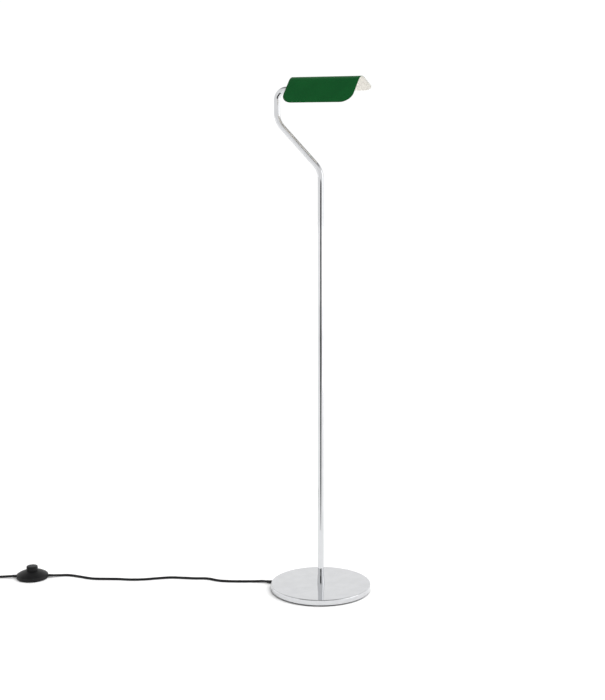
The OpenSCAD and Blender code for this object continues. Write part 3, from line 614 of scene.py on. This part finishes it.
def folded_shade():
    """The green sheet with its cream inside, as one closed skin."""
    rows = shade_stations()
    whole = [(s, back, -1) for s, back in reversed(rows[1:])] + [(s, back, 1) for s, back in rows]
    verts, faces, skins = [], [], []

    def grid(depth, inset):
        start = len(verts)
        for i, (s, back, side) in enumerate(whole):
            half = SHADE_L / 2 - back - inset
            s_in = s - (inset if i in (0, len(whole) - 1) else 0)
            y, z = shade_point(s_in, depth, side)
            for k in range(COLUMNS + 1):
                verts.append(mm(SHADE_X - half + 2 * half * k / COLUMNS, y, z))
        return start

    def rim(start):
        n, m = len(whole), COLUMNS + 1
        return ([start + k for k in range(m)] + [start + i * m + COLUMNS for i in range(1, n)]
                + [start + (n - 1) * m + k for k in range(COLUMNS - 1, -1, -1)]
                + [start + i * m for i in range(n - 2, 0, -1)])

    def skin(start, flip, finish):
        m = COLUMNS + 1
        for i in range(len(whole) - 1):
            for k in range(COLUMNS):
                loop = [start + i * m + k, start + i * m + k + 1, start + (i + 1) * m + k + 1,
                        start + (i + 1) * m + k]
                faces.append(loop[::-1] if flip else loop)
                skins.append(finish)

    # The sheet's edge is rounded by the coat: face, soft corner, edge, soft corner, back
    outer = grid(0.0, SOFT_EDGE)
    outer_edge = grid(SOFT_EDGE, 0.0)
    inner_edge = grid(SHEET_T - SOFT_EDGE, 0.0)
    inner = grid(SHEET_T, SOFT_EDGE)
    skin(outer, False, 0)
    skin(inner, True, 1)
    for a, b, finish in ((outer, outer_edge, 0), (outer_edge, inner_edge, 0), (inner_edge, inner, 1)):
        la, lb = rim(a), rim(b)
        for k in range(len(la)):
            m = (k + 1) % len(la)
            faces.append([la[k], lb[k], lb[m], la[m]])
            skins.append(finish)
    mesh = bpy.data.meshes.new("folded_shade")
    mesh.from_pydata([tuple(v) for v in verts], [], faces)
    mesh.materials.append(FINISHES["green_coat"])
    mesh.materials.append(FINISHES["cream_coat"])
    mesh.polygons.foreach_set("material_index", skins)
    sheet = bmesh.new()
    sheet.from_mesh(mesh)
    loose = [v for v in sheet.verts if not v.link_faces]
    bmesh.ops.delete(sheet, geom=loose, context="VERTS")
    bmesh.ops.recalc_face_normals(sheet, faces=sheet.faces)
    sheet.to_mesh(mesh)
    sheet.free()
    mesh.shade_smooth()
    mesh.set_sharp_from_angle(angle=math.radians(60))
    piece = bpy.data.objects.new("folded_shade", mesh)
    bpy.context.scene.collection.objects.link(piece)
    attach(piece, "shade")
    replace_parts(piece, "shade")


folded_shade()

# ---- Foot switch ----

PAD_T = 1.2
SKIRT_Z = 10
DOME_Z = 20.5
BUTTON_R = 14.5
BUTTON_Z = 32.5
BUTTON_Z0 = 8
BUTTON_WALL = 4.5
BUTTON_EDGE_R = 2.5
HOLE_R = BUTTON_R + 0.3
DOME_EDGE_R = BUTTON_R + 1.5
SHELL_T = 2
DOME_C = (SWITCH_R ** 2 + SKIRT_Z ** 2 - DOME_EDGE_R ** 2 - DOME_Z ** 2) / (2 * (SKIRT_Z - DOME_Z))
DOME_R = math.hypot(SWITCH_R, SKIRT_Z - DOME_C)

switch_matrix = (Matrix.Translation((SWITCH_AT[0], SWITCH_AT[1], 0))
                 @ Matrix.Rotation(math.radians(SWITCH_TURN), 4, "Z"))


def dome_height(r, shell=0.0):
    return DOME_C + math.sqrt((DOME_R - shell) ** 2 - r ** 2)


def domed_cover():
    # A soft corner between the straight side and the dome, touching both
    edge = 1.2
    corner_r = SWITCH_R - edge
    corner_z = dome_height(corner_r, edge)
    outer = [(SWITCH_R - 0.4, PAD_T), (SWITCH_R, PAD_T + 0.4)]
    outer += arc(corner_r, corner_z, edge, 0, math.degrees(math.atan2(corner_z - DOME_C, corner_r)))
    outer += [(r, dome_height(r)) for r in (37, 34, 31, 28, 25, 22, 19, 17)]
    lip = 0.5
    outer += arc(HOLE_R + lip, dome_height(HOLE_R + lip) - lip, lip, 80, 180, 4)
    inner = [(r, dome_height(r, SHELL_T)) for r in (HOLE_R, 20, 26, 32, SWITCH_R - SHELL_T - 1)]
    inner += [(SWITCH_R - SHELL_T, SKIRT_Z - SHELL_T), (SWITCH_R - SHELL_T, PAD_T)]
    verts, faces = lathe(outer + inner)
    return new_piece("switch_cover", placed(verts, switch_matrix), faces, "black_plastic")


def push_button():
    # The top is very slightly crowned
    edge_z = BUTTON_Z - BUTTON_EDGE_R - 0.25
    outer = [(BUTTON_R, BUTTON_Z0), (BUTTON_R, edge_z - 0.25)]
    outer += arc(BUTTON_R - BUTTON_EDGE_R, edge_z, BUTTON_EDGE_R, 0, 84, 8)[1:]
    outer += [(8, BUTTON_Z - 0.08), (4, BUTTON_Z - 0.01), (0, BUTTON_Z)]
    hollow_r, hollow_z = BUTTON_R - BUTTON_WALL, BUTTON_Z - BUTTON_WALL
    inner = [(0, hollow_z), (hollow_r, hollow_z), (hollow_r, BUTTON_Z0)]
    verts, faces = lathe(outer + inner)
    return new_piece("push_button", placed(verts, switch_matrix), faces, "black_plastic", "button")


RING_DEPTH = 0.55
LEAST_WALL = 0.15
RING_SOFT = 0.15


def ribbed_sleeve(name, length, r0, r1, matrix, ribs):
    """A rubber strain relief that tapers along X, with rings moulded round it."""
    hole = CORD_R + 0.02
    outer = []
    for i in range(ribs):
        x0, x1 = length * i / ribs, length * (i + 1) / ribs
        ra, rb = (r0 + (r1 - r0) * x / length for x in (x0, x1))
        groove = (x1 - x0) * 0.3
        outer += [(ra, x0 + RING_SOFT), (ra, x0 + 2 * RING_SOFT), (rb, x1 - groove - RING_SOFT),
                  (rb - 0.1, x1 - groove)]
        if i < ribs - 1:
            floor_r = max(rb - RING_DEPTH, hole + LEAST_WALL)
            outer += [(floor_r, x1 - groove + 0.25), (floor_r, x1 - 0.1)]
    profile = [(hole, 0)] + outer + [(hole, length - 0.05)]
    verts, faces = lathe(profile, 40)
    turned = matrix @ Matrix.Rotation(math.radians(90), 4, "Y")
    return new_piece(name, placed(verts, turned), faces, "black_rubber")


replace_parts(domed_cover(), "switch_dome")
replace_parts(push_button(), "switch_button")
GLAND_SEAT_L = SHELL_T + 3
glands = []
for name, turn in (("gland_in", 180), ("gland_out", 0)):
    matrix = (switch_matrix @ Matrix.Rotation(math.radians(turn), 4, "Z")
              @ Matrix.Translation((SWITCH_R - GLAND_SEAT_L, 0, SWITCH_CORD_Z)))
    glands.append(ribbed_sleeve(name, GLAND_L + GLAND_SEAT_L, CORD_R + 0.8, CORD_R + 0.4, matrix, 7))
    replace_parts(glands[-1], "switch_glands")

exit_matrix = (Matrix.Rotation(math.radians(CORD_TURN), 4, "Z") @ Matrix.Translation((BASE_R, 0, EXIT_Z))
               @ Matrix.Rotation(EXIT_SLOPE, 4, "Y"))
# The sleeve stops a little short of the end of its 7 mm seat in the base
SLEEVE_IN_BASE = 6.7
base_sleeve = ribbed_sleeve("base_sleeve", RELIEF_L + SLEEVE_IN_BASE, CORD_R + 1.25, CORD_R + 0.5,
                            exit_matrix @ Matrix.Translation((-SLEEVE_IN_BASE, 0, 0)), 9)
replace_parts(base_sleeve, "base_relief")

# ---- Plug and tie ----

plug_matrix = Matrix.Translation(PLUG_AT) @ Matrix.Rotation(math.radians(PLUG_TURN), 4, "Z")
PLUG_L = 36
PLUG_T = 13.7
PIN_PITCH = 18.6
PIN_R = 2.0
PIN_L = 19
PIN_SLEEVE_L = 10
PIN_SLEEVE_T = 0.4
PIN_SEAT_L = 8
PLUG_SOFT = 2.4


def plug_body():
    """A moulded flat two-pin plug with a waist for the fingers and soft edges."""
    x0 = PLUG_RELIEF_L
    # Distance along the plug, and half its width there
    half = [(0, 6.2), (4, 7.2), (10, 8.1), (16, 9.2), (22, 11.2), (26, 12.4), (30, 12.9), (PLUG_L, 13)]
    outline = [(x0 + x, -y) for x, y in half] + [(x0 + x, y) for x, y in reversed(half)]
    n = len(outline)
    verts = [Vector((x, y, z)) for z in (-PLUG_T / 2, PLUG_T / 2) for x, y in outline]
    faces = [list(range(n))[::-1], [n + k for k in range(n)]]
    faces += [[k, (k + 1) % n, n + (k + 1) % n, n + k] for k in range(n)]
    piece = new_piece("plug_moulding", placed(verts, plug_matrix), faces, "black_plastic", sharp=50)
    soft = piece.modifiers.new("soft_edges", "BEVEL")
    soft.width = PLUG_SOFT * MM
    soft.segments = 5
    soft.limit_method = "ANGLE"
    soft.angle_limit = math.radians(50)
    return piece


def plug_pin(name, y):
    bare = PIN_SLEEVE_L
    core = PIN_R - PIN_SLEEVE_T
    profile = [(0, -PIN_SEAT_L), (core, -PIN_SEAT_L), (core, bare), (PIN_R, bare), (PIN_R, PIN_L - 1)]
    profile += arc(PIN_R - 1, PIN_L - 1, 1, 0, 90, 5)[1:] + [(0, PIN_L)]
    verts, faces = lathe(profile, 32)
    matrix = (plug_matrix @ Matrix.Translation((PLUG_RELIEF_L + PLUG_L, y, 0))
              @ Matrix.Rotation(math.radians(90), 4, "Y"))
    return new_piece(name, placed(verts, matrix), faces, "zinc_steel")


# The bundle of turns, and the tape round it. Its outer face is TAPE_OUT beyond the bundle
COIL_R = 35
COIL_W = 18
COIL_H = 17
COIL_LIFT = 1
TAPE_OUT = 0.85
TAPE_T = 0.8
TAPE_W = 12
TIE_TURN = 20


def coil_tie():
    """A band of hook-and-loop tape round the bundle of turns."""
    half_w, height, soft = COIL_W / 2 + TAPE_OUT, COIL_H + 2 * TAPE_OUT, CORD_R + TAPE_OUT
    section = []
    for cx, cy, start in ((half_w - soft, soft, -90), (half_w - soft, height - soft, 0),
                          (soft - half_w, height - soft, 90), (soft - half_w, soft, 180)):
        section += [(COIL_R + x, COIL_LIFT - TAPE_OUT + y)
                    for x, y in arc(cx, cy, soft, start, start + 90, 6)]
    steps, n = 8, len(section)
    verts, faces = [], []
    for i in range(steps + 1):
        a = math.radians(TIE_TURN) + TAPE_W / COIL_R * (i / steps - 0.5)
        verts += [Vector((COIL_AT[0] + r * math.cos(a), COIL_AT[1] + r * math.sin(a), z)) * MM
                  for r, z in section]
    for i in range(steps):
        for k in range(n):
            m = (k + 1) % n
            faces.append([i * n + k, (i + 1) * n + k, (i + 1) * n + m, i * n + m])
    piece = new_piece("coil_band", verts, faces, "hook_tape")
    thick = piece.modifiers.new("tape_thickness", "SOLIDIFY")
    thick.thickness = TAPE_T * MM
    thick.offset = -1
    return piece


plug = plug_body()
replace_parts(plug, "plug_body")
pins = [plug_pin("plug_pin_left", PIN_PITCH / 2), plug_pin("plug_pin_right", -PIN_PITCH / 2)]
for pin in pins:
    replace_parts(pin, "plug_pins")
plug_sleeve = ribbed_sleeve("plug_sleeve", PLUG_RELIEF_L, CORD_R + 0.5, CORD_R + 1.8, plug_matrix, 9)
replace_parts(plug_sleeve, "plug_relief")
band = coil_tie()
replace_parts(band, "coil_tie")

# ---- CAD nodes that stay ----

for part in frame["record"]["subparts"]:
    node = frame["nodes"][part["node"]]
    node.data.materials.clear()
    node.data.materials.append(FINISHES[part["material_slot"]])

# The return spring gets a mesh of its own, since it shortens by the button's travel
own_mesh(frame["nodes"]["button_spring"])

# ---- Cords get their finish and take the place of their CAD nodes once their pieces exist ----

for cord, nodes in ((cord_to_switch, ["cord_to_switch"]),
                    (cord_to_plug, ["cord_to_coil", "cord_coil", "cord_to_plug"])):
    cord.data.materials.append(FINISHES["black_cord"])
    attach(cord, "root")
    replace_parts(cord, *nodes)
nodes = frame["nodes"]

# ---- Studio ----


def flat_card(name, centre, width, height, facing, colour):
    """A flat sheet of paper or cloth in the studio."""
    mesh = bpy.data.meshes.new(name)
    w, h = width / 2, height / 2
    mesh.from_pydata([(-w, -h, 0), (w, -h, 0), (w, h, 0), (-w, h, 0)], [], [(0, 1, 2, 3)])
    card = bpy.data.objects.new(name, mesh)
    bpy.context.scene.collection.objects.link(card)
    card.location = centre
    card.rotation_euler = Vector(facing).to_track_quat("Z", "Y").to_euler()
    mesh.materials.append(new_finish(name + "_matt", Roughness=0.9, Specular_IOR_Level=0.2,
                                     Base_Color=linear(colour))[0])
    return card


def hide_from(piece, *rays):
    for ray in rays:
        setattr(piece, "visible_" + ray, False)


flat_card("studio_floor", (0, 0, 0), 24, 24, (0, 0, 1), "#f8f8f8")
to_camera = Vector((CAMERA_AT[0], CAMERA_AT[1], 0)).normalized()
to_right = Vector((-to_camera.y, to_camera.x, 0))
# A dark cloth that only the chrome sees. It draws the dark line down the front of the tube.
# Its corners' distance from the stem, half width and height: it starts as a wedge
CLOTH = [(0.5, 0.03, 0.002), (1.0, 0.38, 0.002), (2.6, 1.09, 0.002), (2.6, 1.09, 0.95)]
ends = [to_camera * d + to_right * (side * half - 0.06 * d) + Vector((0, 0, z))
        for d, half, z in CLOTH for side in (-1, 1)]
mesh = bpy.data.meshes.new("dark_end")
mesh.from_pydata([tuple(v) for v in ends], [], [(0, 1, 3, 2), (2, 3, 5, 4), (4, 5, 7, 6)])
dark_end = bpy.data.objects.new("dark_end", mesh)
bpy.context.scene.collection.objects.link(dark_end)
mesh.materials.append(new_finish("dark_cloth", Roughness=1.0, Specular_IOR_Level=0.0,
                                 Base_Color=linear("#2c2c2c"))[0])
hide_from(dark_end, "camera", "diffuse", "shadow", "transmission")
# A drape on the camera's side keeps light from the front out of the gap under the base
drape_at = to_camera * 3.4 + Vector((0, 0, 1.1))
hide_from(flat_card("camera_side_drape", drape_at, 9, 2.2, -to_camera, "#1c1c1c"),
          "camera", "glossy", "transmission")

# Pale walls all round, under a dim ceiling
world = bpy.data.worlds.new("studio_world")
bpy.context.scene.world = world
world.use_nodes = True
tree = world.node_tree
direction = add(tree, "ShaderNodeTexCoord").outputs["Generated"]
height = add(tree, "ShaderNodeSeparateXYZ", {"Vector": direction}).outputs["Z"]
walls = add(tree, "ShaderNodeMapRange", {"Value": height}, interpolation_type="SMOOTHSTEP",
            From_Min=0.5, From_Max=0.8, To_Min=1.04, To_Max=0.36)
tree.links.new(walls.outputs["Result"], tree.nodes["Background"].inputs["Strength"])
tree.nodes["Background"].inputs["Color"].default_value = (1, 1, 1, 1)

sun = bpy.data.lights.new("soft_key", "SUN")
sun.energy = 2.35
sun.angle = math.radians(60)
key = bpy.data.objects.new("soft_key", sun)
key_from = to_right * 0.4 + to_camera * 0.15 + Vector((0, 0, 0.9))
key.rotation_euler = key_from.to_track_quat("Z", "Y").to_euler()
# The chrome would show it as a hard white streak
key.visible_glossy = False
bpy.context.scene.collection.objects.link(key)

# A tall softbox on the right
box_data = bpy.data.lights.new("right_softbox", "AREA")
box_data.shape = "RECTANGLE"
box_data.size, box_data.size_y = 1.6, 2.4
box_data.energy = 14
box = bpy.data.objects.new("right_softbox", box_data)
box.location = to_right * 2.6 + to_camera * 0.3 + Vector((0, 0, 1.2))
box.rotation_euler = to_right.to_track_quat("Z", "Y").to_euler()
box.visible_camera = False
bpy.context.scene.collection.objects.link(box)

bpy.context.scene.view_settings.view_transform = "Standard"
